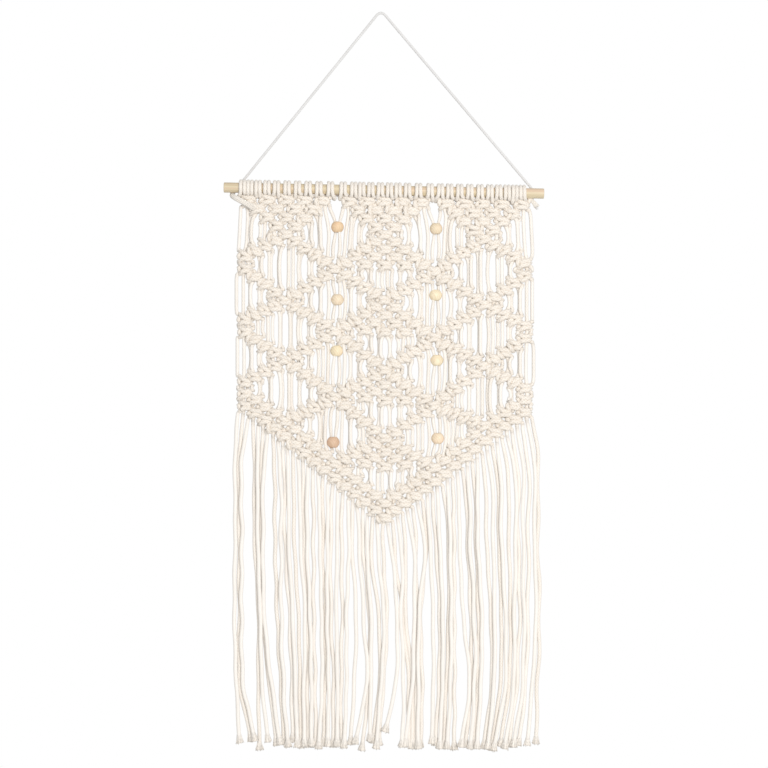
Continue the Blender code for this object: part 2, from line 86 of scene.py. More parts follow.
# Depth below the rod's axis at key rows, in millimetres, at seven places across the net
DEPTH_COLUMNS = (1, 3, 5.5, 8, 10.5, 13, 15)
DEPTHS = (
    # row, left edge, left side, left beads, middle, right beads, right side, right edge
    (0.5, 8.5, 8.5, 8.5, 8.5, 8.5, 8.5, 8.5),
    (1.5, 20, 19, 19, 18.2, 19, 19, 19),
    (5, 50, 55, 54, 52.7, 54, 56.3, 48),
    (10, 89, 94, 94.2, 96.5, 95.5, 95, 90.5),
    (15, 126, 133.5, 131, 128.9, 134, 133.7, 127),
    (20, 163.5, 168.5, 168, 176.5, 173.5, 170.5, 164.5),
    (25, 201, 203.7, 206.7, 212.8, 213.5, 206.2, 202),
    (30, 237.5, 240, 245.4, 258, 254, 242, 238.5),
    (35, 273.5, 275.3, 285.3, 294.3, 290, 276.5, 274.5),
    (40, 312, 318, 325.1, 335, 328, 319, 313),
    (45, 351, 358, 366, 371.5, 367, 359, 352),
    (48, 375, 382, 390, 396, 391, 383, 376),
)

# Beads: column, depth below the rod's axis, sideways sway, all but the column in millimetres
BEADS = (
    ("bead_left_1", 5.5, 44.2, 2.0),
    ("bead_left_2", 5.5, 130.6, 2.6),
    ("bead_left_3", 5.5, 191.4, 1.8),
    ("bead_left_4", 5.5, 300.1, -2.4),
    ("bead_right_1", 10.5, 44.0, 2.2),
    ("bead_right_2", 10.5, 123.0, 0.9),
    ("bead_right_3", 10.5, 200.3, 2.5),
    ("bead_right_4", 10.5, 293.1, 3.4),
)

# Tones of the woods: each bead's light one, in the order above, and the rod's light, dark and
# blush
BEAD_TONES = (
    (0.84, 0.65, 0.43), (0.89, 0.77, 0.59), (0.92, 0.82, 0.59), (0.73, 0.53, 0.38),
    (0.86, 0.75, 0.56), (0.93, 0.84, 0.62), (0.93, 0.83, 0.61), (0.91, 0.78, 0.59),
)

ROD_TONES = ((0.73, 0.64, 0.45), (0.58, 0.45, 0.28), (0.77, 0.55, 0.42))
# Cottons: light and dark, creamier light and dark for painted shade and for random tone, yarns round
# it, and their lay
COTTONS = {
    "hanging_cotton": ((0.807, 0.796, 0.786), (0.625, 0.612, 0.60),
                       (0.807, 0.796, 0.786), (0.625, 0.612, 0.60), 2, 2.2 * MM),
    "frayed_cotton": ((0.95, 0.905, 0.84), (0.86, 0.80, 0.72),
                      (0.95, 0.90, 0.83), (0.86, 0.79, 0.70), 3, 3 * MM),
    "cotton": ((0.942, 0.901, 0.85), (0.838, 0.787, 0.728),
               (0.922, 0.857, 0.776), (0.80, 0.725, 0.632), 4, 4.2 * MM),
}

# Where the 30 larks heads meet along the rod, in millimetres from the hang point
HEAD_EDGES = (
    -167.8, -159.5, -151.1, -140.4, -129.7, -117.8, -104.7, -92.8, -79.7, -67.2,
    -52.4, -36.9, -27.4, -17.9, -6.0, 4.8, 15.5, 25.0, 38.1, 51.2,
    65.5, 75.6, 87.5, 99.4, 111.3, 123.8, 134.5, 144.6, 154.7, 163.0, 172.4,
)

# Free ends of the strands: places right of the hang point at 620, 720 and 800 mm below it, then
# the tip's place and depth, in millimetres
FREE_ENDS = (
    (-173, -174, -171.5, -168.5, 866), (-168.7, -168.5, -167.5, -156, 865),
    (-165, -165.3, -163, -151.5, 864), (-150.5, -145.5, -146, -144.5, 875),
    (-146.3, -143, -141, -135, 865), (-142.3, -140.5, -132.5, -125, 870),
    (-139.8, -138.3, -129.3, -121, 868), (-126.2, -123.3, -119, -116, 869),
    (-118.5, -118.3, -115.5, -111, 871), (-114.5, -108.5, -106, -105, 866),
    (-109.5, -104.5, -101.5, -99.5, 871), (-103.5, -98, -96.5, -95.5, 873),
    (-95.8, -90, -91.5, -91, 870), (-92, -87, -87, -87, 872),
    (-87.6, -84, -82.5, -82.5, 870), (-80.3, -80, -78.3, -78, 872),
    (-72.6, -70.5, -70, -73.5, 873), (-69.4, -66.5, -66, -68.5, 871),
    (-63.3, -63.8, -62, -63, 870), (-59.8, -59.2, -56.2, -57, 872),
    (-51.6, -53, -51.5, -52, 870), (-47, -46, -47.5, -47, 871),
    (-37.5, -41, -41, -43.5, 872), (-35, -29.5, -32, -36, 869),
    (-26, -20.5, -17, -29, 867), (-21.8, -13.8, -14.5, -22, 876),
    (-17, -11.5, -12.2, -13, 864), (-12.5, -2.5, -1.8, -9, 867),
    (-3.1, 3.7, 0, -5, 873), (2.6, 7.1, 2.5, -2, 870),
    (14.5, 19, 17, 7, 853), (17, 26, 33, 33.5, 872),
    (25.8, 24, 27, 25, 871), (29.8, 29, 38.5, 37, 874),
    (39.4, 39.4, 37, 29.5, 870), (41.7, 41.4, 41.5, 41, 872),
    (52.5, 45, 44.5, 44, 873), (54.5, 47, 49.2, 47.5, 872),
    (57.5, 61.9, 62.2, 60.5, 867), (63.8, 70, 68.7, 65, 870),
    (68.7, 73.5, 73, 70, 873), (79.9, 80.5, 77.6, 75, 874),
    (82, 83.7, 82.4, 79, 873), (86.9, 87.2, 87.6, 87, 875),
    (93.2, 98.1, 105.2, 96, 871), (103, 107, 107.5, 101, 872),
    (105.8, 111, 111.3, 106.5, 873), (113, 115.9, 114.5, 110.5, 872),
    (115, 120, 118.6, 114.5, 873), (125.4, 130.9, 131.5, 123, 874),
    (133.1, 135, 134, 127.5, 873), (140.1, 143.2, 141.8, 132, 876),
    (143, 148, 147.3, 135.5, 875), (152, 154.1, 152.1, 143, 871),
    (160, 158.3, 157.5, 148, 873), (163, 165, 161, 153.5, 872),
    (168.8, 169.9, 167.8, 158.5, 871), (175.2, 174.7, 171.9, 164.5, 870),
    (182.2, 184.2, 179.4, 174.5, 869), (186.4, 188.3, 186.3, 184.5, 868),
)
WAY_DEPTHS = (620, 720, 800)
TUFT = 12                           # length of the frayed tip
TUFT_YARNS = 16

# Route of the hanging cord, in metres: the left tail, round behind the rod, over the hang
# point, behind the rod again, and the right tail
CORD_ROUTE = (
    (-0.1630, -0.0103, -0.2242),
    (-0.1680, -0.0095, -0.2212),
    (-0.1722, -0.0060, -0.2182),
    (-0.1752, -0.0012, -0.2158),
    (-0.1760, 0.0032, -0.2120),
    (-0.1732, 0.0062, -0.2072),
    (-0.1680, 0.0078, -0.2006),
    (-0.1630, 0.0079, -0.1950),
    (-0.1300, 0.0064, -0.1545),
    (-0.0750, 0.0036, -0.0870),
    (-0.0200, 0.0010, -0.0195),
    (-0.0085, 0.0004, -0.0054),
    (-0.0042, 0.0002, -0.0003),
    (0.0, 0.0, 0.0015),
    (0.0042, 0.0001, -0.0003),
    (0.0085, 0.0002, -0.0052),
    (0.0200, 0.0003, -0.0188),
    (0.0750, 0.0011, -0.0837),
    (0.1300, 0.0020, -0.1485),
    (0.1740, 0.0028, -0.2004),
    (0.1788, 0.0030, -0.2070),
    (0.1800, 0.0030, -0.2135),
    (0.1802, 0.0010, -0.2200),
    (0.1812, -0.0030, -0.2245),
    (0.1835, -0.0060, -0.2285),
    (0.1855, -0.0070, -0.2325),
)
# The middles of its two frayed tails
LEFT_TAIL = (
    (-0.1735, 0.0065, -0.2060), (-0.1765, 0.0030, -0.2125), (-0.1768, -0.0030, -0.2158),
    (-0.1740, -0.0080, -0.2185), (-0.1690, -0.0108, -0.2215), (-0.1620, -0.0118, -0.2252),
    (-0.1545, -0.0098, -0.2292), (-0.1490, -0.0055, -0.2330),
)
RIGHT_TAIL = (
    (0.1755, -0.0010, -0.2185), (0.1785, -0.0045, -0.2215), (0.1815, -0.0065, -0.2250),
    (0.1850, -0.0075, -0.2300),
)
PLIES = 3
PLY_REACH = 0.74 * MM               # from the middle of the cord to the middle of a ply
PLY_RADIUS = 0.93 * MM
PLY_LAY = 8.5 * MM                  # one turn of a ply

# ---------------------------------------------------------------- sizes of the cotton cord

STRAND = 2.2 * MM                   # radius of the cotton cord
KNOTTED = 1.34                      # squashed flat into the gaps where it bends in a knot
LOOPED = 1.10                       # and at the loops on both sides of the knot
FIRM = 0.97                         # how near two cords come before they push
THREADED = 0.74                     # squeezed side by side through a bead
STRAND_SIDES = 8
PARTICLE = 2.0 * MM                 # spacing of the points that settle against each other
SETTLING_STEPS = 60
HANGING = 2.45 * MM                 # radius of the slack free ends
SWELLING = 1.7 * MM                 # how much their radius grows towards the tips
TUFT_START = 1.8 * MM               # half width of a tuft where its yarns part
TUFT_STOP = 4.7 * MM                # and at its tip

# How the cords settle
WATCHED = 5.6 * MM                  # points nearer than this can come to touch
SHORTENED = 0.985                   # length of a link at rest, as a share of its first length
SMOOTHING = 0.12                    # shares of each correction that one step makes
PULLING = 0.4
PUSHING = 1.6
HOMING = 0.02

# Places of the strands, in millimetres, and how far knots lean in degrees
STRAND_OFFSET = 2.96                # from the middle of a pair to each of its strands
BESIDE_BEAD = 9.8                   # from the middle of a bead column to the strands that pass it
THREADED_REACH = 2.1                # and to the strands that run through its beads
LENS_REACH = 2.2                    # how much further those bow out between bead and knot
LAYER_DEPTH = 2.35                  # from the net's plane to each of the fringe's two layers
LOOP_PLACE = 6.2                    # from the middle of a knot to where its side loops begin
KNOT_END = 4.6                      # and to just past where its strands leave it
LEAN = 8

# One square knot, in millimetres right of and above its middle and behind the net's plane.
# The left filler, then the cord that makes both front bars, then the cord that locks them. The
# lower half of each mirrors these upper halves.
FILLER = ((-2.6, 3.4, 0.2), (-2.25, 1.6, 0.0), (-2.2, 0.0, 0.0))
BAR_CORD = (
    (-7.8, 4.3, 0.8), (-6.4, 3.4, -0.8), (-4.0, 2.6, -3.4), (-1.3, 2.2, -4.6),
    (1.6, 2.1, -4.6), (4.7, 1.9, -3.0), (6.8, 1.4, 0.2), (7.5, 0.0, 1.0),
)
LOCK_CORD = (
    (8.0, 4.4, -0.6), (7.2, 3.4, -2.8), (6.4, 1.9, -2.8), (4.8, 0.6, 0.6),
    (2.2, 1.3, 4.4), (-2.2, 1.8, 4.4), (-5.1, 3.4, -0.2), (-6.5, 2.7, -3.7),
    (-7.1, 0.9, -4.5),
)

# The knots beside the slits over the first beads are pushed apart: column of the slit, push in
# millimetres
PARTED = ((5.5, 5.0), (10.5, 3.8))
# The threaded strands come together over the first bead: row, millimetres from the middle
SLIT = ((1.5, 9.0), (2.2, 6.8), (3.0, 3.4), (3.6, THREADED_REACH))

# How the two strands of an edge pair hang in its windows: pair, row, outer, inner, in
# millimetres right of the middle of the pair
EDGE_HANG = (
    (0, 5, -2.4, 6.2), (0, 15, -4.6, 3.2), (0, 25, -3.6, 4.2),
    (29, 5, 4.2, -5.0), (29, 15, 3.2, -3.6), (29, 25, 5.0, -4.6),
)


# ---------------------------------------------------------------- places on the rod and net

def rod_z(x):
    """Height of the rod's axis above a sideways place."""
    return ROD_CENTRE.z - (x - ROD_CENTRE.x) * math.tan(ROD_TILT)


def read_between(table, place):
    """What a table of places and values says between two of its lines."""
    places, values = zip(*table)
    return float(np.interp(place, places, values))


def net_x(column, row):
    return NET_CENTRE_X + (column - MIDDLE_COLUMN) * read_between(KNOT_SPACING, row)


def net_depth(column, row):
    """Depth below the rod's axis, read from the table across and down."""
    rows, *columns = zip(*DEPTHS)
    across = [np.interp(row, rows, depths) for depths in columns]
    return float(np.interp(column, DEPTH_COLUMNS, across)) * MM


def net_z(column, row, x):
    return rod_z(x) - net_depth(column, row)


def pair_and_side(strand):
    """The pair of a strand, and -1 for the left one of the two or 1 for the right one."""
    return strand // 2, 1 if strand % 2 else -1


def is_threaded(strand):
    """True for a strand that runs through the beads of a column."""
    pair, side = pair_and_side(strand)
    return (pair if side > 0 else pair - 1) in BEAD_PAIRS


def pair_column(pair):
    return 0.75 + pair / 2


def gap_column(gap):
    """The knot column between a pair and the next one."""
    return 1 + gap / 2


def free_row(pair):
    """The last row that still holds a pair."""
    return FIRST_FREE_ROW + min(pair, PAIRS - 1 - pair)


@functools.cache
def row_at_depth(column, depth):
    rows = np.arange(0.5, LAST_ROW + 1, 0.25)
    depths = [net_depth(column, row) for row in rows]
    return float(np.interp(depth, depths, rows))


@functools.cache
def knot_columns(row):
    """The columns that hold a square knot in one row."""
    left = set()
    if row <= 5:
        # three solid triangles that point down, their tips in row 5
        inset = (row - 1) / 2
        left.update(np.arange(1 + inset, 5 - inset + 0.1))
        left.update(np.arange(6 + inset, 10 - inset + 0.1))
    if 5 <= row <= 35:
        # lines that cross at column 3 and meet the edge and the bead column
        offset = abs((row % 10) - 5) / 2
        left.update((3 - offset, 3 + offset))
    if row > 35:
        left.add(1 + (row - 31) / 2)
    if row >= FIRST_FREE_ROW:
        left.add(1 + (row - FIRST_FREE_ROW) / 2)
    if 5 <= row <= 45:
        step = row % 10
        if step >= 5:
            # solid triangles that point up, their tips in rows 5, 15, 25 and 35
            half = (step - 5) / 2
            left.update(np.arange(8 - half, 8 + half + 0.1))
        else:
            left.add(8 - (5 - step) / 2)
    left = {float(column) for column in left if 1 <= column <= MIDDLE_COLUMN}
    return left | {2 * MIDDLE_COLUMN - column for column in left}


@functools.cache
def edge_stations():
    """The V edge of the net: two straight slopes and a short level tip, carried on past both
    sides."""
    corners = (0, PAIRS // 2 - 1, PAIRS // 2, PAIRS - 1)
    rows = [free_row(pair) + 0.5 for pair in corners]
    columns = [pair_column(pair) for pair in corners]
    xs = [net_x(column, row) for column, row in zip(columns, rows)]
    zs = [net_z(column, row, x) for column, row, x in zip(columns, rows, xs)]
    past = 0.1
    left = (xs[0] - past * (xs[1] - xs[0]), zs[0] - past * (zs[1] - zs[0]))
    right = (xs[-1] + past * (xs[-1] - xs[-2]), zs[-1] + past * (zs[-1] - zs[-2]))
    return [left[0], *xs, right[0]], [left[1], *zs, right[1]]


def edge_height(x):
    """Height of the net's V edge above a sideways place."""
    return float(np.interp(x, *edge_stations()))


def bead_sway(column, row):
    """Sideways shift of a bead column: each bead's own over its height, and none at the knots
    between."""
    stops = [(0.5, 0.0)]
    for knot, bead in zip(BEAD_KNOT_ROWS, [line for line in BEADS if line[1] == column]):
        row_of_bead = row_at_depth(column, bead[2] * MM)
        stops += [(row_of_bead + past, bead[3] * MM) for past in (-1, 1)] + [(knot, 0.0)]
    return read_between(stops, row)


def parted(column, row):
    """Sideways push, in millimetres, of the knots beside the slits over the first beads."""
    push = 0
    for slit_column, reach in PARTED:
        away = column - slit_column
        near = max(0, 1 - max(0, abs(away) - 0.5) / 2.2)
        high = max(0, min(1, (row - 0.4) / 0.7, (4.5 - row) / 2.5))
        push += math.copysign(reach * near * high, away)
    return push


def chart_point(column, row, u, v, y):
    """A place u right of and v above a place in the chart, and y behind the net's plane."""
    push = parted(column, row)
    column = column + u / COLUMN_PITCH
    row = row - v / ROW_PITCH
    x = net_x(column, row) + push * MM
    return Vector((x, NET_Y + y * MM, net_z(column, row, x)))


# ---------------------------------------------------------------- routes of the strands

def lengths_along(points):
    """How far along its line each point lies."""
    steps = np.linalg.norm(np.diff(points[:, :3], axis=0), axis=1)
    return np.concatenate([[0], np.cumsum(steps)])


def smooth_route(points, spacing):
    """Points evenly spaced along a smooth curve (Catmull-Rom) through rows of numbers."""
    points = np.array(points, float)
    padded = np.vstack([2 * points[0] - points[1], points, 2 * points[-1] - points[-2]])
    t = np.linspace(0, 1, 12, endpoint=False)[:, None]
    dense = []
    for a, b, c, d in zip(padded, padded[1:], padded[2:], padded[3:]):
        dense.append(0.5 * (2 * b + (c - a) * t + (2 * a - 5 * b + 4 * c - d) * t ** 2
                            + (3 * b - a - 3 * c + d) * t ** 3))
    dense = np.vstack([*dense, points[-1:]])
    along = lengths_along(dense)
    count = max(int(round(along[-1] / spacing)), 2)
    stations = np.linspace(0, along[-1], count + 1)
    return np.column_stack([np.interp(stations, along, values) for values in dense.T])


def knot_at(pair, row):
    """The knot that holds a pair in one row: its gap, or None."""
    gap = pair if (pair % 2 == 0) == (row % 2 == 1) else pair - 1
    if 0 <= gap < PAIRS - 1 and gap_column(gap) in knot_columns(row) and row <= free_row(pair):
        return gap
    return None


def lean(column, row):
    """How far a knot leans, in degrees, along the slanting line of knots that it belongs to."""
    knots = {(n, place) for n in (row - 1, row + 1) for place in knot_columns(n)}
    falling = ((row - 1, column - 0.5) in knots) + ((row + 1, column + 0.5) in knots)
    rising = ((row - 1, column + 0.5) in knots) + ((row + 1, column - 0.5) in knots)
    return (rising - falling) * LEAN


@functools.cache
def knot_character(gap, row):
    """Each knot lies a little differently: its turn, shift and tightness."""
    luck = random.Random(gap * 100 + row)
    turn = math.radians(lean(gap_column(gap), row) + luck.gauss(0, 3))
    return turn, luck.gauss(0, 0.4), luck.gauss(0, 0.35), 1 + luck.gauss(0, 0.035)


def knot_points(strand, gap, row):
    """The way of one strand through a square knot."""
    role = strand - 2 * gap
    upper = (BAR_CORD, FILLER, FILLER, LOCK_CORD)[role]
    lower = [(u, -v, y) for u, v, y in reversed(upper) if v]
    side = -1 if role == 2 else 1
    turn, right, up, size = knot_character(gap, row)
    points = []
    for u, v, y in (*upper, *lower):
        thick = KNOTTED + (LOOPED - KNOTTED) * min(1, abs(u / LOOP_PLACE)) ** 3
        u = u * side * size
        v = v * size
        hold = 1 - 0.6 * abs(v) / KNOT_END
        u, v = (u + (right - v * math.sin(turn)) * hold, v + (up + u * math.sin(turn)) * hold)
        place = chart_point(gap_column(gap), row, u, v, y)
        # 1: painted shade, so knots are painted creamier and darker, with darker gaps between their
        #    yarns
        points.append((*place, STRAND * thick, 1))
    return points


def hanging_offset(strand, row):
    """Sideways place of an edge strand, or one at a bead, from the middle of its pair; None
    for the others."""
    pair, side = pair_and_side(strand)
    for edge_pair, middle, outer, inner in EDGE_HANG:
        if pair == edge_pair and abs(row - middle) < 4:
            outer_side = -1 if pair == 0 else 1
            return outer if side == outer_side else inner
    for bead_pair in BEAD_PAIRS:
        if pair not in (bead_pair, bead_pair + 1) or row > BEAD_KNOT_ROWS[-1]:
            continue
        column = gap_column(bead_pair)
        towards = 1 if pair == bead_pair else -1
        half_pair = 0.25 * COLUMN_PITCH
        sway = bead_sway(column, row) / MM
        if not is_threaded(strand):
            return towards * (half_pair - BESIDE_BEAD) + sway
        push = parted(pair_column(pair), row)
        return towards * (half_pair - threaded_reach(column, row)) + sway - push
    return None


def threaded_reach(column, row):
    """How far a threaded strand is from the middle of its bead column, in millimetres: side by
    side at a bead, and in a slim lens between a bead and the knots."""
    if row < SLIT[-1][0]:
        return read_between(SLIT, row)
    stops = [row_at_depth(column, line[2] * MM) for line in BEADS if line[1] == column]
    stops = sorted(stops + list(BEAD_KNOT_ROWS))
    stop = bisect.bisect_left(stops, row)
    if stop in (0, len(stops)):
        return THREADED_REACH
    along = (row - stops[stop - 1]) / (stops[stop] - stops[stop - 1])
    return THREADED_REACH + LENS_REACH * math.sin(math.pi * along) ** 2


@functools.cache
def strand_tone_and_shade(strand, stretch):
    """Cotton is never even: how creamy one hanging stretch of a strand is. On the fringe's back layer
    the same value stands for painted shade.
    """
    return random.Random(strand * 50 + stretch).uniform(0.1, 0.65)


def window_points(strand, last_row, next_row):
    """The way of one strand between two knots that are more than a row apart. The two strands
    of a pair close up at once, one in front of the other, and some of them part again."""
    pair, side = pair_and_side(strand)
    luck = random.Random(pair * 1000 + last_row)
    sway = luck.gauss(0, 0.9)
    close = luck.choice((0.2, 0.4, 0.6, 0.9, 1.3, 2.6))
    front = luck.choice((-1, 1))
    depth = math.sqrt(max(0, 2.2 ** 2 - close ** 2)) * front * side
    first, last = last_row + 0.9, next_row - 0.9
    if last - first < 0.6:
        rows = [((first + last) / 2, 0.75)]
    else:
        inner = max(int(round((last - first - 1.1) / 1.3)), 1)
        rows = [(first, 0.5)]
        rows += [(first + 0.5 + (last - first - 1) * n / inner, 1) for n in range(inner + 1)]
        rows += [(last, 0.5)]
    points = []
    for row, share in rows:
        bow = math.sin(math.pi * (row - first) / (last - first)) if last > first else 0
        middle = hanging_offset(strand, row)
        if middle is None:
            offset = side * (STRAND_OFFSET + (close - STRAND_OFFSET) * share) + bow * sway
        else:
            offset = side * STRAND_OFFSET * (1 - share) + middle * share
        place = chart_point(pair_column(pair), row, offset, 0, depth * share)
        points.append((*place, STRAND * squeeze(strand, place), strand_tone_and_shade(strand, last_row)))
    return points


def squeeze(strand, place):
    """How much thinner a threaded strand is where it passes through a bead."""
    if not is_threaded(strand):
        return 1
    for name, *_ in BEADS:
        low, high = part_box(name)
        past = max(low.z - place.z - 1 * MM, place.z - high.z - 1 * MM, 0) / (6 * MM)
        if low.x < place.x < high.x and past < 1:
            return THREADED + (1 - THREADED) * past
    return 1


def head_points(strand):
    """The half of a larks head that belongs to one strand, from the middle of its bar."""
    pair, side = pair_and_side(strand)
    left, right = HEAD_EDGES[pair], HEAD_EDGES[pair + 1]
    middle = (left + right) / 2
    wrap = min(2.1, (right - left) / 2 - 1.9)
    leg = min(4.0, (right - left) / 2 - 1.4)
    leaving = (right - left) / 2 - 1.8 if is_threaded(strand) else wrap
    shape = (
        # beside the middle, behind the rod's axis, above it
        (0.0, 9.6, -8.6), (leg * 0.75, 9.0, -9.0), (leg, 6.0, -9.4), (leg, 1.5, -9.6),
        (leg * 0.8, -3.5, -8.6), (wrap * 1.1, -7.2, -5.2), (wrap, -8.3, -1.2),
        (wrap, -7.8, 3.2), (wrap, -4.6, 7.1), (wrap, 0.0, 8.4), (wrap, 5.0, 6.8),
        (wrap, 8.2, 2.0), (wrap, 8.2, -2.5), ((wrap + leaving) / 2, 6.6, -6.0),
        (leaving, 4.6, -8.6),
    )
    points = []
    for u, y, z in shape:
        x = (middle + side * u) * MM
        # 0.7: painted shade, the wraps of the larks heads are painted darker and creamier
        points.append((x, ROD_CENTRE.y + y * MM, rod_z(x) + z * MM, STRAND * 1.03, 0.7))
    return points


def strand_top_x(strand):
    """A free end starts below its own half of its pair."""
    pair, side = pair_and_side(strand)
    return net_x(pair_column(pair), free_row(pair) + 0.5) + side * STRAND_OFFSET * MM


def fringe_points(strand):
    """The free end of a strand, from below the V edge to where its tip is frayed."""
    _, layer = pair_and_side(strand)
    luck = random.Random(strand + 400)
    top_x = strand_top_x(strand) / MM
    top_z = edge_height(top_x * MM) / MM - 6
    *ways, tip_x, tip_depth = FREE_ENDS[strand]
    stations = [(top_x, top_z), (top_x + 0.75 * (ways[0] - top_x), (top_z - 30))]
    for x, depth in zip(ways, WAY_DEPTHS):
        if depth > -top_z + 55:
            stations.append((x, -depth))
    stations.append((tip_x, TUFT - 3 - tip_depth))
    xs, zs = np.array(stations).T
    heights = np.linspace(zs[0], zs[-1], int((zs[0] - zs[-1]) / 15))
    xs = smooth_through(heights, zs, xs)
    swing = wave_down(heights, luck, (0.3, 1.3), (50, 90))
    drift = wave_down(heights, luck, (0, 0.9), (70, 160))
    ends = np.minimum(1, np.minimum(zs[0] - heights, heights - zs[-1]) / 30)
    xs = xs + swing * ends
    drift = drift * ends
    # painted shade: strands of the back layer are painted creamier and darker by a random amount, the
    # front layer stays light
    tone = strand_tone_and_shade(strand, 0) if layer > 0 else 0.1
    points = []
    for n, (x, z) in enumerate(zip(xs, heights)):
        y = NET_Y + (layer * LAYER_DEPTH * min(1, 0.3 + n / 2) + drift[n]) * MM
        points.append((x * MM, y, z * MM, HANGING if n else STRAND, tone))
    return points


def wave_down(heights, luck, swings, lengths):
    """A wave down a free end, its swing and length drawn by chance."""
    swing = luck.uniform(*swings)
    length = luck.uniform(*lengths)
    return swing * np.sin(math.tau * heights / length + luck.uniform(0, 6))


def smooth_through(places, stations, values):
    """Values read smoothly between stations that run downwards."""
    slopes = np.gradient(values, stations)
    stop = np.clip(np.searchsorted(-stations, -places), 1, len(stations) - 1)
    high, low = stations[stop - 1], stations[stop]
    gap = low - high
    t = (places - high) / gap
    cube, square = t ** 3, t ** 2
    before = ((2 * cube - 3 * square + 1) * values[stop - 1]
              + (cube - 2 * square + t) * gap * slopes[stop - 1])
    after = (3 * square - 2 * cube) * values[stop] + (cube - square) * gap * slopes[stop]
    return before + after


def strand_route(strand):
    """All the points of one strand from its larks head to its tip: x, y, z, radius, and its mark of
    painted shade and random creamy tone, from 0 to 1."""
    pair = strand // 2
    route = head_points(strand)
    last_row = 0
    for row in range(1, free_row(pair) + 1):
        gap = knot_at(pair, row)
        if gap is None:
            continue
        if last_row and row - last_row > 1:
            route += window_points(strand, last_row, row)
        route += knot_points(strand, gap, row)
        last_row = row
    return route + fringe_points(strand)


# ---------------------------------------------------------------- settling the cords

def near_pairs(points, reach):
    """Index pairs of the points that lie within reach of each other."""
    cells = np.floor(points / reach).astype(np.int64)
    cells -= cells.min(0) - 1
    size = cells.max(0) + 2
    keys = (cells[:, 0] * size[1] + cells[:, 1]) * size[2] + cells[:, 2]
    order = np.argsort(keys, kind="stable")
    ordered = keys[order]
    firsts, seconds = [], []
    steps = [(x, y, z) for x in (-1, 0, 1) for y in (-1, 0, 1) for z in (-1, 0, 1)]
    for x, y, z in steps[13:]:
        shift = (x * size[1] + y) * size[2] + z
        start = np.searchsorted(ordered, ordered + shift, "left")
        stop = np.searchsorted(ordered, ordered + shift, "right")
        counts = stop - start
        a = np.repeat(np.arange(len(points)), counts)
        b = np.arange(counts.sum()) - np.repeat(np.cumsum(counts) - counts, counts)
        b += np.repeat(start, counts)
        if shift == 0:
            a, b = a[b > a], b[b > a]
        firsts.append(order[a])
        seconds.append(order[b])
    a, b = np.concatenate(firsts), np.concatenate(seconds)
    close = np.sum((points[a] - points[b]) ** 2, axis=1) < reach ** 2
    return a[close], b[close]


def gather(index, moves, count):
    """The sum of the moves that each point is given."""
    return np.column_stack([np.bincount(index, moves[:, n], count) for n in range(3)])


def settle(routes):
    """Let the cords push each other apart, stay smooth and keep near their places."""
    places = np.vstack([route[:, :3] for route in routes])
    radius = np.concatenate([np.minimum(route[:, 3], STRAND * 1.06) for route in routes])
    owner = np.concatenate([np.full(len(route), n) for n, route in enumerate(routes)])
    home = places.copy()
    count = len(places)
    inner = np.flatnonzero((owner[:-2] == owner[2:])) + 1
    link = np.flatnonzero(owner[:-1] == owner[1:])
    rest = np.linalg.norm(places[link + 1] - places[link], axis=1) * SHORTENED
    for step in range(SETTLING_STEPS):
        if step % 6 == 0:
            a, b = near_pairs(places, WATCHED)
            apart = (owner[a] != owner[b]) | (np.abs(a - b) > 4)
            a, b = a[apart], b[apart]
        # keep smooth
        middle = (places[inner - 1] + places[inner + 1]) / 2
        places[inner] += (middle - places[inner]) * SMOOTHING
        # keep the length between neighbours
        for parity in (0, 1):
            some = link[parity::2]
            way = places[some + 1] - places[some]
            length = np.linalg.norm(way, axis=1)
            pull = way * ((length - rest[parity::2]) / np.maximum(length, 1e-9) * PULLING)[:, None]
            places[some] += pull
            places[some + 1] -= pull
        # push crossing cords apart
        way = places[b] - places[a]
        length = np.linalg.norm(way, axis=1)
        least = (radius[a] + radius[b]) * FIRM
        touching = length < least
        aa, bb = a[touching], b[touching]
        push = way[touching] / np.maximum(length[touching], 1e-6)[:, None]
        push *= ((least[touching] - length[touching]) * 0.5)[:, None]
        hits = np.bincount(np.concatenate([aa, bb]), minlength=count)
        moves = gather(bb, push, count) - gather(aa, push, count)
        places += moves / np.maximum(hits, 1)[:, None] * PUSHING
        # stay near the chart
        places += (home - places) * HOMING
    settled = []
    start = 0
    for route in routes:
        stop = start + len(route)
        settled.append(np.column_stack([places[start:stop], route[:, 3:]]))
        start = stop
    return settled


def thin_out(points, coarse, fine):
    """Keep few points where a cord hangs straight and many where it bends."""
    kept = [0]
    for n in range(1, len(points) - 1):
        ahead = points[n + 1, :3] - points[n, :3]
        behind = points[n, :3] - points[kept[-1], :3]
        gone = np.linalg.norm(behind)
        cosine = ahead @ behind / max(np.linalg.norm(ahead) * gone, 1e-12)
        bend = math.acos(min(1, max(-1, cosine)))
        if gone > coarse or (gone > fine and bend > 0.16):
            kept.append(n)
    kept.append(len(points) - 1)
    return points[kept]


# ---------------------------------------------------------------- making cords into pieces

def placed(name, data):
    """A new object in the scene."""
    item = bpy.data.objects.new(name, data)
    bpy.context.scene.collection.objects.link(item)
    return item


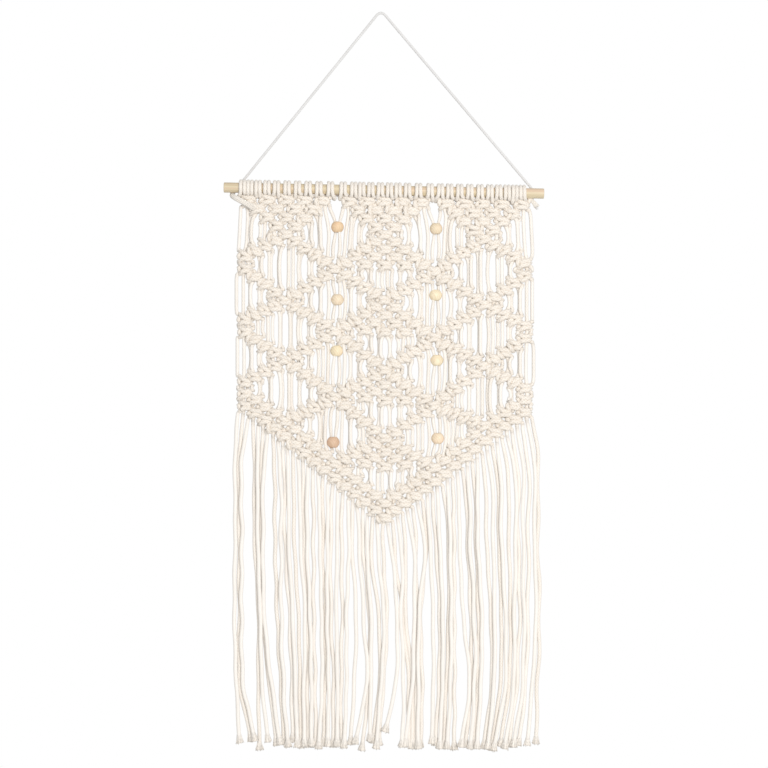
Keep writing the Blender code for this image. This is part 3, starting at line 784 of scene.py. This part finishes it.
def cord_piece(name, lines, sides, finish):
    """Round cords as one mesh, along lines of x, y, z, radius and, where it is given, the mark of
    painted shade and random creamy tone. Its map runs once round each cord, and along it in metres."""
    curve = bpy.data.curves.new(name, "CURVE")
    curve.dimensions = "3D"
    curve.bevel_depth = 1
    curve.bevel_resolution = sides // 2 - 2
    curve.twist_mode = "MINIMUM"
    for line in lines:
        spline = curve.splines.new("POLY")
        spline.points.add(len(line) - 1)
        flat = np.column_stack([line[:, :3], np.ones(len(line))])
        spline.points.foreach_set("co", flat.ravel())
        spline.points.foreach_set("radius", line[:, 3])
    drawn = placed(name + "_line", curve)
    bpy.context.view_layer.update()
    mesh = bpy.data.meshes.new_from_object(drawn.evaluated_get(bpy.context.evaluated_depsgraph_get()))
    bpy.data.objects.remove(drawn)
    bpy.data.curves.remove(curve)
    mesh.name = name
    map_along(mesh, lines, sides)
    mark_shade_and_tone(mesh, lines, sides)
    close_ends(mesh)
    mesh.shade_smooth()
    mesh.materials.clear()
    mesh.materials.append(finish)
    piece = placed(name, mesh)
    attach(piece, "root")
    return piece


def map_along(mesh, lines, sides):
    """Write the map of a set of round cords: once round, and metres along."""
    rings = sum(len(line) for line in lines)
    if len(mesh.vertices) != rings * sides:
        raise ValueError(f"{mesh.name}: {len(mesh.vertices)} points and not {rings * sides}")
    along = np.concatenate([lengths_along(line) for line in lines])
    corners = np.zeros(len(mesh.loops), np.int32)
    mesh.loops.foreach_get("vertex_index", corners)
    quads = corners.reshape(-1, 4)
    around = (quads % sides) / sides
    wrapped = (around.max(1) - around.min(1)) > 0.5
    around[wrapped] = np.where(around[wrapped] < 0.5, around[wrapped] + 1, around[wrapped])
    layer = mesh.uv_layers.get("cord") or mesh.uv_layers.new(name="cord")
    flat = np.column_stack([around.ravel(), along[(quads // sides)].ravel()])
    layer.data.foreach_set("uv", flat.ravel().astype(np.float32))
    for other in [uv for uv in mesh.uv_layers if uv.name != "cord"]:
        mesh.uv_layers.remove(other)


def mark_shade_and_tone(mesh, lines, sides):
    """Write each part of a cord's mark of painted shade and random creamy tone, where its lines give
    one.
    """
    values = [line[:, 4] if line.shape[1] > 4 else np.zeros(len(line)) for line in lines]
    values = np.clip(np.repeat(np.concatenate(values), sides), 0, 1)
    mark = mesh.attributes.new("shade_and_tone", "FLOAT", "POINT")
    mark.data.foreach_set("value", values.astype(np.float32))


def close_ends(mesh):
    """Cap the open ends of a set of round cords."""
    bm = bmesh.new()
    bm.from_mesh(mesh)
    bmesh.ops.holes_fill(bm, edges=[edge for edge in bm.edges if edge.is_boundary], sides=0)
    bmesh.ops.recalc_face_normals(bm, faces=bm.faces[:])
    bm.to_mesh(mesh)
    bm.free()


# ---------------------------------------------------------------- finishes

class Shade:
    """A number that varies over a surface. Sums on it add the Math nodes that they need."""

    def __init__(self, finish, socket):
        self.finish = finish
        self.socket = socket

    def math(self, operation, *others):
        inputs = dict(enumerate((self, *others)))
        return self.finish.add("ShaderNodeMath", {"operation": operation}, inputs)

    def __add__(self, other):
        return self.math("ADD", other)

    __radd__ = __add__

    def __sub__(self, other):
        return self.math("SUBTRACT", other)

    def __rsub__(self, other):
        return self.finish.add("ShaderNodeMath", {"operation": "SUBTRACT"}, {0: other, 1: self})

    def __mul__(self, other):
        return self.math("MULTIPLY", other)

    __rmul__ = __mul__

    def __pow__(self, other):
        return self.math("POWER", other)

    def clamped(self):
        return self.finish.add("ShaderNodeMath", {"operation": "ADD", "use_clamp": True},
                               {0: self, 1: 0.0})


class Finish:
    """A procedural material while it is being mixed."""

    def __init__(self, name, roughness, **constants):
        self.material = bpy.data.materials.new(name)
        self.material.use_nodes = True
        self.tree = self.material.node_tree
        self.shader = self.tree.nodes["Principled BSDF"]
        self.shader.inputs["Roughness"].default_value = roughness
        for socket, value in constants.items():
            self.shader.inputs[socket.replace("_", " ")].default_value = value

    def add(self, kind, settings=None, inputs=None, output=0):
        """One node: its type, its settings, and the values or links of its sockets."""
        node = self.tree.nodes.new(kind)
        for key, value in (settings or {}).items():
            setattr(node, key, value)
        for socket, value in (inputs or {}).items():
            if isinstance(value, Shade):
                self.tree.links.new(value.socket, node.inputs[socket])
            elif isinstance(value, tuple) and len(value) == 3 and node.inputs[socket].type == "RGBA":
                node.inputs[socket].default_value = (*value, 1)
            else:
                node.inputs[socket].default_value = value
        return Shade(self, node.outputs[output])

    def noise(self, place, scale, detail=2.0, roughness=0.5):
        return self.add("ShaderNodeTexNoise", None, {
            "Vector": place, "Scale": scale, "Detail": detail, "Roughness": roughness})

    def mix(self, factor, first, second):
        return self.add("ShaderNodeMix", {"data_type": "RGBA"}, {0: factor, 6: first, 7: second},
                        output=2)

    def stretch(self, place, scale, offset=(0, 0, 0), turn=(0, 0, 0)):
        return self.add("ShaderNodeMapping", None, {
            "Vector": place, "Scale": scale, "Location": offset, "Rotation": turn})

    def use(self, socket, value):
        self.tree.links.new(value.socket, self.shader.inputs[socket])

    def bump(self, height, strength, distance):
        self.use("Normal", self.add("ShaderNodeBump", None, {
            "Height": height, "Strength": strength, "Distance": distance}))


def cotton_finish(name):
    """Soft cotton cord: two crossing sets of yarns are braided round it, with loose fibres. Where its
    mark is high it is painted creamier and darker and the gaps between its yarns are painted darker:
    painted shade in knots, larks heads, tufts and the fringe's back layer, and a creamy tone that
    differs at random on hanging stretches."""
    light, dark, shade_and_tone_light, shade_and_tone_dark, yarns, lay = COTTONS[name]
    finish = Finish(name, 0.92, Sheen_Weight=0.5, Sheen_Roughness=0.5, Specular_IOR_Level=0.15)
    spot = finish.add("ShaderNodeTexCoord", output=3)
    around = finish.add("ShaderNodeUVMap", {"uv_map": "cord"})
    shade_and_tone = finish.add("ShaderNodeAttribute", {"attribute_name": "shade_and_tone"}, output=2)
    u = finish.add("ShaderNodeSeparateXYZ", None, {0: around})
    v = Shade(finish, u.socket.node.outputs[1])
    slope = v * (math.tau / lay)
    turn = u * (math.tau * yarns)
    braid = (slope + turn).math("SINE").math("MAXIMUM", (slope - turn).math("SINE"))
    # painted shade: the gaps between the braided yarns are painted darker
    gap_shade = (0.5 - braid * 0.5) ** 1.5
    fibres = finish.noise(spot, 2600, 2, 0.6)
    patches = finish.noise(spot, 42, 3, 0.6)
    fleck = finish.noise(spot, 400, 2, 0.6)
    # the mark of painted shade and tone also strengthens the mottle and the bumps
    contrast = shade_and_tone * 0.8 + 0.3
    shade = ((gap_shade * 1.35 - 0.12) * shade_and_tone + 0.3 + (patches - 0.5) * 0.8
             + (fleck - 0.5) * contrast).clamped()
    loose_tone = finish.mix(shade, light, dark)
    # the creamier, darker colours are painted shade in knots, heads and tufts, and random tone on
    # hanging stretches
    shade_and_tone_colour = finish.mix(shade, shade_and_tone_light, shade_and_tone_dark)
    finish.use("Base Color", finish.mix(shade_and_tone, loose_tone, shade_and_tone_colour))
    finish.bump((braid * 0.5 + fleck * 0.5) * contrast + fibres * 0.5, 0.6, 0.0005)
    return finish.material


def wood_finish(name, light, dark, blush, centre, turn, ring, grain):
    """Pale turned wood: growth rings seen along the grain, fine pores and a pinkish blush."""
    finish = Finish(name, 0.55, Specular_IOR_Level=0.35)
    spot = finish.add("ShaderNodeTexCoord", output=3)
    local = finish.stretch(spot, (1, 1, 1), offset=[-c for c in centre], turn=turn)
    slow = finish.stretch(local, grain)
    wave = finish.noise(slow, 1.0, 3, 0.55)
    parts = finish.add("ShaderNodeSeparateXYZ", None, {0: local})
    y = Shade(finish, parts.socket.node.outputs[1])
    z = Shade(finish, parts.socket.node.outputs[2])
    rings = ((y * 0.9 + z * 0.45) * (math.tau / ring) + wave * 9.0).math("SINE")
    pores = finish.noise(finish.stretch(local, [g * 6 for g in grain]), 1.0, 2, 0.7)
    tone = (rings * 0.22 + wave * 0.9 - 0.12 + (pores - 0.5) * 0.5).clamped()
    flush = finish.noise(finish.stretch(local, [g * 0.6 for g in grain]), 1.0, 2, 0.5)
    base = finish.mix(tone, light, dark)
    finish.use("Base Color", finish.mix(((flush - 0.45) * 3.0).clamped(), base, blush))
    finish.use("Roughness", pores * 0.25 + 0.42)
    finish.bump(pores * 0.5 + rings * 0.2, 0.2, 0.0003)
    return finish.material


# ---------------------------------------------------------------- camera, light and floor

CAMERA_PLACE = (3.6 * MM, -2.158, -0.440)
CAMERA_LENS = 85
KEY_PLACE = Vector((0.55, -2.35, -0.15))
KEY_AIM = Vector((0, 0, -0.45))
KEY_SIZE = 1.2
KEY_POWER = 41
FILL = 0.54                         # brightness of the light from all round


def build_camera():
    camera = bpy.data.cameras.new("camera")
    camera.lens = CAMERA_LENS
    camera.sensor_width = 36
    holder = placed("camera", camera)
    holder.location = CAMERA_PLACE
    holder.rotation_euler = (math.pi / 2, 0, 0)
    bpy.context.scene.camera = holder


def build_light():
    """White all round, dimmer as a light than as a backdrop, and one soft key light."""
    scene = bpy.context.scene
    scene.view_settings.view_transform = "Standard"
    world = bpy.data.worlds.new("studio")
    scene.world = world
    world.use_nodes = True
    nodes, links = world.node_tree.nodes, world.node_tree.links
    backdrop = nodes["Background"]
    backdrop.inputs["Color"].default_value = (1, 1, 1, 1)
    backdrop.inputs["Strength"].default_value = 1.0
    fill = nodes.new("ShaderNodeBackground")
    fill.inputs["Color"].default_value = (1, 1, 1, 1)
    fill.inputs["Strength"].default_value = FILL
    rays = nodes.new("ShaderNodeLightPath")
    choose = nodes.new("ShaderNodeMixShader")
    links.new(rays.outputs["Is Camera Ray"], choose.inputs[0])
    links.new(fill.outputs[0], choose.inputs[1])
    links.new(backdrop.outputs[0], choose.inputs[2])
    links.new(choose.outputs[0], nodes["World Output"].inputs["Surface"])

    lamp = bpy.data.lights.new("key", "AREA")
    lamp.shape = "SQUARE"
    lamp.size = KEY_SIZE
    lamp.energy = KEY_POWER
    holder = placed("key", lamp)
    holder.location = KEY_PLACE
    holder.rotation_euler = (KEY_AIM - KEY_PLACE).to_track_quat("-Z", "Y").to_euler()


def mesh_from(bm, name, finish):
    """A mesh with one finish."""
    mesh = bpy.data.meshes.new(name)
    bm.to_mesh(mesh)
    bm.free()
    mesh.materials.append(finish)
    return mesh


def build_floor():
    """A plain round floor, well below the tips."""
    bm = bmesh.new()
    bmesh.ops.create_circle(bm, cap_ends=True, segments=64, radius=0.6)
    bmesh.ops.translate(bm, verts=bm.verts[:], vec=(0, 0, -1.05))
    paint = Finish("floor_paint", 0.9, Base_Color=(0.86, 0.86, 0.85, 1))
    floor = placed("floor", mesh_from(bm, "floor", paint.material))


# ---------------------------------------------------------------- hanging cord, beads and rod

def directions_along(middle, facing):
    """The directions ahead, to the side and over at each point of a line."""
    ahead = np.gradient(middle, axis=0)
    ahead /= np.linalg.norm(ahead, axis=1)[:, None]
    side = np.cross(ahead, facing)
    side /= np.linalg.norm(side, axis=1)[:, None]
    return ahead, side, np.cross(side, ahead)


def frayed_end(middle, count, start, stop, luck):
    """Loose yarns that part around a middle line, from one half width to another."""
    middle = np.array(middle, float)
    ahead, side, over = directions_along(middle, (0, 1, 0.001))
    along = np.linspace(0, 1, len(middle))[:, None]
    lines = []
    for n in range(count):
        angle = n * 2.4 + luck.uniform(-0.3, 0.3)
        reach = start + (stop * luck.uniform(0.8, 1.1) - start) * along ** 1.3
        curl = luck.gauss(0, 0.05) * stop * np.sin(along * math.pi * luck.uniform(0.8, 1.6))
        angle = angle + luck.gauss(0, 0.25) * along
        line = middle + (reach + curl) * (np.cos(angle) * side + np.sin(angle) * over)
        line[-1] += ahead[-1] * luck.gauss(0, 0.6) * MM
        radius = np.linspace(0.6, 0.5, len(line)) * MM
        # the mark rises towards the tip: painted shade among the loose yarns of the brush
        lines.append(np.column_stack([line, radius, np.linspace(0, 0.7, len(line))]))
    return lines


def flared(middle, start, stop):
    """One soft core along a middle line, from one half width to another."""
    middle = np.array(middle, float)
    along = np.linspace(0, 1, len(middle))
    radius = start + (stop - start) * along ** 1.3
    # the mark rises towards the tip: painted shade in the brush
    return np.column_stack([middle, radius, 0.7 * along])


def build_hanging_cord(finish):
    """Three fine plies laid round the cord's route."""
    route = smooth_route(CORD_ROUTE, 0.9 * MM)
    _, side, over = directions_along(route, (0, 1, 0))
    along = lengths_along(route)
    lines = []
    for ply in range(PLIES):
        angle = along / PLY_LAY * math.tau + ply * math.tau / PLIES
        line = route + PLY_REACH * (np.cos(angle)[:, None] * side + np.sin(angle)[:, None] * over)
        lines.append(np.column_stack([line, np.full(len(line), PLY_RADIUS)]))
    piece = cord_piece("twisted_hanging_cord", lines, 8, finish)
    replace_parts(piece, "hanging_cord")


def build_frayed_tails(finish):
    """Both tails of the hanging cord end in a thick brush of loose yarns."""
    luck = random.Random(5)
    left = smooth_route(LEFT_TAIL, 3 * MM)
    right = smooth_route(RIGHT_TAIL, 3 * MM)
    cores = [flared(left, 2.4 * MM, 3.6 * MM), flared(right, 1.4 * MM, 2.5 * MM)]
    cord_piece("frayed_tail_cores", cores, 12, finish)
    lines = frayed_end(left, 40, 2.1 * MM, 3.6 * MM, luck)
    lines += frayed_end(right, 26, 1.2 * MM, 2.7 * MM, luck)
    cord_piece("frayed_tail_yarns", lines, 4, finish)


def build_bead(name, centre, finish):
    """A turned bead with eased rims, spun from half of its section."""
    radius = BEAD_DIAMETER / 2
    bore = BEAD_BORE / 2
    rim = math.asin((bore + 0.5 * MM) / radius)
    outline = []
    for step in range(17):
        angle = rim + (math.pi - 2 * rim) * step / 16
        outline.append((radius * math.sin(angle), radius * math.cos(angle)))
    top = outline[0][1]
    outline = [(bore, top - 0.55 * MM), (bore + 0.12 * MM, top - 0.12 * MM)] + outline
    outline += [(bore + 0.12 * MM, 0.12 * MM - top), (bore, 0.55 * MM - top)]
    bm = bmesh.new()
    verts = [bm.verts.new((x, 0, z)) for x, z in outline]
    loop = [bm.edges.new((verts[n - 1], verts[n])) for n in range(len(verts))]
    bmesh.ops.spin(bm, geom=verts + loop, axis=(0, 0, 1), cent=(0, 0, 0), angle=math.tau,
                   steps=36, use_merge=True)
    bmesh.ops.remove_doubles(bm, verts=bm.verts[:], dist=0.01 * MM)
    bmesh.ops.translate(bm, verts=bm.verts[:], vec=centre)
    bmesh.ops.recalc_face_normals(bm, faces=bm.faces[:])
    mesh = mesh_from(bm, "turned_" + name, finish)
    mesh.shade_smooth()
    bead = placed("turned_" + name, mesh)
    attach(bead, "root")
    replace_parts(bead, name)


def build_rod(finish):
    """A plain dowel with eased ends."""
    bm = bmesh.new()
    bmesh.ops.create_cone(bm, cap_ends=True, segments=48, radius1=ROD_RADIUS, radius2=ROD_RADIUS,
                          depth=ROD_LENGTH)
    rims = [edge for edge in bm.edges if abs(edge.verts[0].co.z - edge.verts[1].co.z) < 1e-6]
    bmesh.ops.bevel(bm, geom=rims, offset=0.7 * MM, offset_type="OFFSET", segments=3, profile=0.5,
                    affect="EDGES", material=-1)
    turn = Matrix.Rotation(ROD_TILT, 3, "Y") @ Matrix.Rotation(math.pi / 2, 3, "Y")
    bmesh.ops.rotate(bm, verts=bm.verts[:], cent=(0, 0, 0), matrix=turn)
    bmesh.ops.translate(bm, verts=bm.verts[:], vec=ROD_CENTRE)
    bmesh.ops.recalc_face_normals(bm, faces=bm.faces[:])
    mesh = mesh_from(bm, "turned_rod", finish)
    for face in mesh.polygons:
        face.use_smooth = len(face.vertices) == 4
    rod = placed("turned_rod", mesh)
    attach(rod, "root")
    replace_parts(rod, "rod")


def build_strands(finish):
    """All sixty strands, settled together, then cut into net and fringe."""
    routes = [smooth_route(strand_route(strand), PARTICLE) for strand in range(2 * PAIRS)]
    settled = settle(routes)
    net_groups = ((0, 20, "net_left"), (20, 40, "net_middle"), (40, 60, "net_right"))
    fringe_groups = ((0, 30, "fringe_left"), (30, 60, "fringe_right"))
    upper, lower = {}, {}
    for strand, route in enumerate(settled):
        top_x = strand_top_x(strand)
        cut = edge_height(top_x) - 3 * MM
        below = np.flatnonzero(route[:, 2] < cut)[0]
        upper[strand] = thin_out(smooth_route(route[:below + 1], 1.35 * MM),
                                 coarse=5 * MM, fine=1.2 * MM)
        lower[strand] = thin_out(smooth_route(route[below:], 2 * MM),
                                 coarse=8 * MM, fine=2 * MM)
    for first, stop, name in net_groups:
        lines = [upper[strand] for strand in range(first, stop)]
        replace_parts(cord_piece(name, lines, STRAND_SIDES, finish), "net")
    for first, stop, name in fringe_groups:
        lines = []
        yarns = []
        for strand in range(first, stop):
            luck = random.Random(strand)
            line, brush = brushed_out(lower[strand], -FREE_ENDS[strand][-1] * MM, luck)
            lines.append(line)
            yarns += brush
        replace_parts(cord_piece(name, lines, 10, finish), "fringe")
        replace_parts(cord_piece(name.replace("fringe", "tufts"), yarns, 4, finish), "fringe")


def brushed_out(line, tip_z, luck):
    """A strand carried on to its tip, where it opens into a brush, and the yarns of the brush."""
    end = line[-1, :3]
    ahead = end - line[-3, :3]
    ahead /= np.linalg.norm(ahead)
    long = (end[2] - tip_z) / max(-ahead[2], 0.5)
    along = np.linspace(0, 1, 6)[1:, None]
    tone = line[-1, 4]
    # the mark rises to 0.8 at the tip: painted shade in the frayed brush
    more = np.hstack([end + ahead * long * along, HANGING + SWELLING * along ** 1.3,
                      tone + (0.8 - tone) * along])
    middle = [end + ahead * (long * step / 5 - 2 * MM * (1 - step / 5)) for step in range(6)]
    brush = frayed_end(middle, TUFT_YARNS, TUFT_START, TUFT_STOP, luck)
    return np.vstack([line, more]), brush


def main():
    build_camera()
    build_hanging_cord(cotton_finish("hanging_cotton"))
    build_frayed_tails(cotton_finish("frayed_cotton"))
    build_light()
    build_floor()
    build_strands(cotton_finish("cotton"))
    build_rod(wood_finish("rod_wood", *ROD_TONES, ROD_CENTRE, turn=(0, -ROD_TILT, 0),
                          ring=2.6 * MM, grain=(9, 260, 260)))
    for (name, *_), (red, green, blue) in zip(BEADS, BEAD_TONES):
        low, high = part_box(name)
        centre = (low + high) / 2
        slot = "dark_bead_wood" if name == "bead_left_4" else "bead_wood"
        finish = wood_finish(slot + name[4:], (red, green, blue),
                             (red * 0.81, green * 0.71, blue * 0.63),
                             (red, green * 0.9, blue * 0.88), centre,
                             turn=(0.3, 0.2, LUCK.uniform(0, 3)), ring=2.2 * MM,
                             grain=(60, 220, 220))
        build_bead(name, centre, finish)


main()
